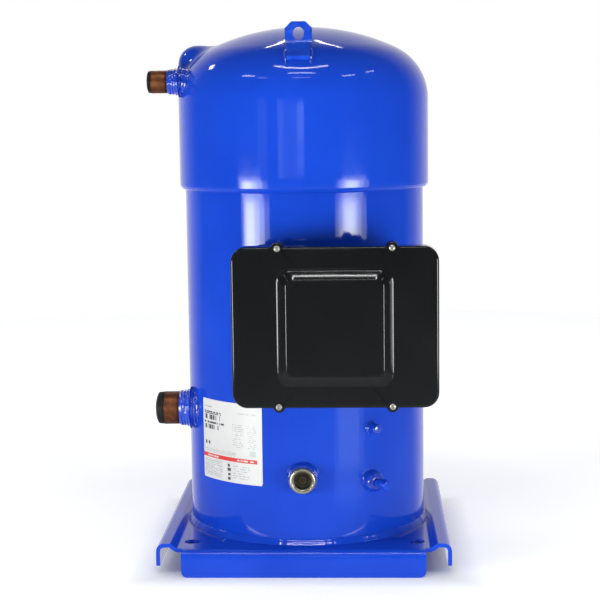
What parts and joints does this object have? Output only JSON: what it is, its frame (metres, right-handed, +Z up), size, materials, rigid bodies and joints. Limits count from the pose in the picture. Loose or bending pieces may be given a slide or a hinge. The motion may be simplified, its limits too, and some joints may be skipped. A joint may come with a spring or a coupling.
{
  "type": "scroll compressor",
  "caption": "Hermetic scroll compressor: tall blue welded shell on a flanged base plate, copper pipe stubs, black terminal box, motor and scroll pump inside.",
  "frame": {"origin": "shell axis at the underside of the base plate's floor", "axes": "+Z up along the shell axis, -Y towards the terminal box and sight glass, -X towards the pipe stubs"},
  "size_m": [0.3778, 0.404, 0.674],
  "materials": {
    "blue_paint": "glossy royal-blue stoving paint",
    "black_enamel": "glossy black enamel",
    "black_plastic": "black moulded plastic",
    "copper_tube": "drawn copper, slightly tarnished",
    "zinc_steel": "zinc-plated steel with a yellowish tint",
    "dark_glass": "dark sight glass",
    "white_label": "white printed vinyl",
    "grey_rubber": "foam rubber gasket",
    "bare_steel": "machined steel",
    "cast_iron": "machined grey iron",
    "bronze": "bearing bronze",
    "laminations": "stacked electrical steel",
    "copper_wire": "varnished copper windings",
    "aluminium_alloy": "machined aluminium"
  },
  "bodies": {
    "shell": {"base_plate": "blue_paint", "lower_shell": "blue_paint", "bottom_head": "blue_paint", "top_cap": "blue_paint", "lifting_lug_front": "blue_paint", "lifting_lug_rear": "blue_paint", "suction_collar": "blue_paint", "suction_tube": "copper_tube", "discharge_collar": "blue_paint", "discharge_tube": "copper_tube", "sight_glass_boss": "blue_paint", "sight_glass_body": "zinc_steel", "sight_glass_lens": "dark_glass", "gauge_port_stub": "blue_paint", "service_port_boss": "blue_paint", "service_port_stem": "blue_paint", "service_port_cap": "blue_paint", "nameplate": "white_label", "terminal_box_tray": "black_enamel", "cover_gasket": "grey_rubber", "terminal_box_cover": "black_enamel", "cover_screw_1": "zinc_steel", "cover_screw_2": "zinc_steel", "cover_screw_3": "zinc_steel", "cover_screw_4": "zinc_steel", "terminal_cup": "bare_steel", "terminal_pin_1": "copper_tube", "terminal_pin_2": "copper_tube", "terminal_pin_3": "copper_tube", "terminal_block": "black_plastic", "protection_module": "black_plastic", "earth_screw": "zinc_steel", "knockout_plug": "black_plastic", "box_saddle_upper": "blue_paint", "box_saddle_lower": "blue_paint", "lower_bearing_bracket": "cast_iron", "lower_bearing_bush": "bronze", "stator_core": "laminations", "winding_lower": "copper_wire", "winding_upper": "copper_wire", "suction_baffle": "bare_steel", "main_frame": "cast_iron", "main_bearing_bush": "bronze", "thrust_plate": "bare_steel", "fixed_scroll": "cast_iron", "valve_retainer": "bare_steel", "floating_seal": "bronze", "partition_plate": "bare_steel"},
    "crank": {"crankshaft": "bare_steel", "rotor": "laminations", "counterweight_upper": "bronze", "counterweight_lower": "bronze", "oil_pickup": "bare_steel"},
    "orbiter": {"orbiting_scroll": "cast_iron", "drive_bush": "bronze"},
    "oldham": {"oldham_ring": "aluminium_alloy"},
    "valve": {"discharge_valve": "bare_steel"},
    "suction_stopper": {"suction_plug": "black_plastic"},
    "discharge_stopper": {"discharge_plug": "black_plastic"}
  },
  "joints": [
    {"name": "crank_spin", "type": "hinge", "parent": "shell", "child": "crank", "pos_m": [0, 0, 0.1], "axis": [0, 0, 1], "continuous": true},
    {"name": "scroll_orbit", "type": "hinge", "parent": "crank", "child": "orbiter", "pos_m": [0, 0.008, 0.425], "axis": [0, 0, 1], "continuous": true},
    {"name": "oldham_slide", "type": "slide", "parent": "shell", "child": "oldham", "axis": [1, 0, 0], "range_m": [-0.008, 0.008]},
    {"name": "discharge_valve_lift", "type": "slide", "parent": "shell", "child": "valve", "axis": [0, 0, 1], "range_m": [0, 0.003]},
    {"name": "suction_plug_pull", "type": "slide", "parent": "shell", "child": "suction_stopper", "axis": [-1, 0, 0], "range_m": [0, 0.06]},
    {"name": "discharge_plug_pull", "type": "slide", "parent": "shell", "child": "discharge_stopper", "axis": [-1, 0, 0], "range_m": [0, 0.06]}
  ],
  "couplings": [
    {"joint": "scroll_orbit", "follows": "crank_spin", "ratio": -1}
  ]
}
